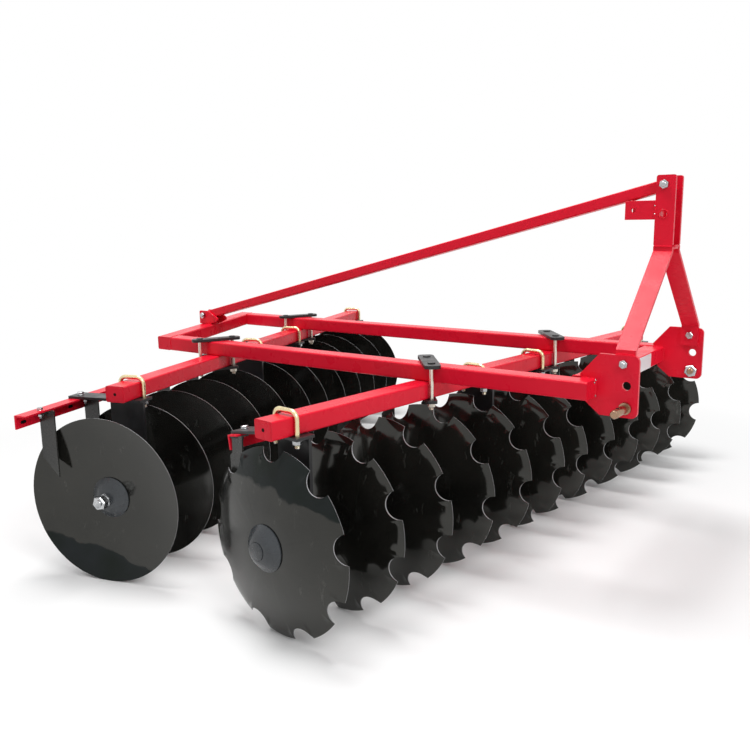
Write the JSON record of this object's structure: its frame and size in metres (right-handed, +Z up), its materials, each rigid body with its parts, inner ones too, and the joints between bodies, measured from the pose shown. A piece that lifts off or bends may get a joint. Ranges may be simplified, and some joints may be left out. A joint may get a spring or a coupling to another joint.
{
  "type": "disc harrow",
  "caption": "Mounted offset disc harrow: notched front and plain rear disc gangs that spin under a skewed red tube frame with a three-point hitch mast.",
  "frame": {"origin": "middle of the bounding box on the ground, where the discs stand", "axes": "+X forward to the tractor, +Y to the machine's left along the lower hitch pins, +Z up"},
  "size_m": [2.7279, 2.9998, 1.42],
  "materials": {
    "red_paint": "glossy enamel",
    "black_plate": "satin black enamel",
    "gold_zinc": "yellow zinc plate",
    "silver_bolt": "bright zinc plate",
    "scraper_steel": "dark grey satin enamel",
    "disc_black": "gloss black enamel with bare ground edges",
    "spool_black": "gloss black enamel",
    "axle_steel": "dark enamel over steel"
  },
  "bodies": {
    "frame": {"near_rail": "red_paint", "far_rail": "red_paint", "front_cross_tube": "red_paint", "rear_cross_tube": "red_paint", "near_hitch_plate": "red_paint", "far_hitch_plate": "red_paint", "near_a_frame_bar": "red_paint", "far_a_frame_bar": "red_paint", "mast": "red_paint", "mast_lug": "red_paint", "brace": "red_paint", "brace_bracket": "red_paint", "front_gang_beam": "red_paint", "rear_gang_beam": "red_paint", "front_scraper_bar": "red_paint", "rear_scraper_bar": "red_paint", "front_hanger_plates": "black_plate", "rear_hanger_plates": "black_plate", "front_bearing_hangers": "black_plate", "rear_bearing_hangers": "black_plate", "front_clamp_strips": "black_plate", "rear_clamp_strips": "black_plate", "front_u_bolts": "gold_zinc", "rear_u_bolts": "gold_zinc", "near_hitch_pin": "gold_zinc", "far_hitch_pin": "gold_zinc", "front_clamp_bolts": "silver_bolt", "rear_clamp_bolts": "silver_bolt", "brace_bolts": "silver_bolt", "front_scraper_blades": "scraper_steel", "rear_scraper_blades": "scraper_steel"},
    "front_near_gang": {"front_near_discs": "disc_black", "front_near_spools": "spool_black", "front_near_axle": "axle_steel"},
    "front_far_gang": {"front_far_discs": "disc_black", "front_far_spools": "spool_black", "front_far_axle": "axle_steel"},
    "rear_near_gang": {"rear_near_discs": "disc_black", "rear_near_spools": "spool_black", "rear_near_axle": "axle_steel"},
    "rear_far_gang": {"rear_far_discs": "disc_black", "rear_far_spools": "spool_black", "rear_far_axle": "axle_steel"}
  },
  "joints": [
    {"name": "front_near_gang_spin", "type": "hinge", "parent": "frame", "child": "front_near_gang", "pos_m": [0.58559, -0.66941, 0.305], "axis": [0.108, 0.9942, 0], "continuous": true},
    {"name": "front_far_gang_spin", "type": "hinge", "parent": "frame", "child": "front_far_gang", "pos_m": [0.73917, 0.74428, 0.305], "axis": [0.108, 0.9942, 0], "continuous": true},
    {"name": "rear_near_gang_spin", "type": "hinge", "parent": "frame", "child": "rear_near_gang", "pos_m": [-0.45985, -0.67144, 0.305], "axis": [-0.3049, 0.9524, 0], "continuous": true},
    {"name": "rear_far_gang_spin", "type": "hinge", "parent": "frame", "child": "rear_far_gang", "pos_m": [-0.90038, 0.70478, 0.305], "axis": [-0.3049, 0.9524, 0], "continuous": true}
  ]
}
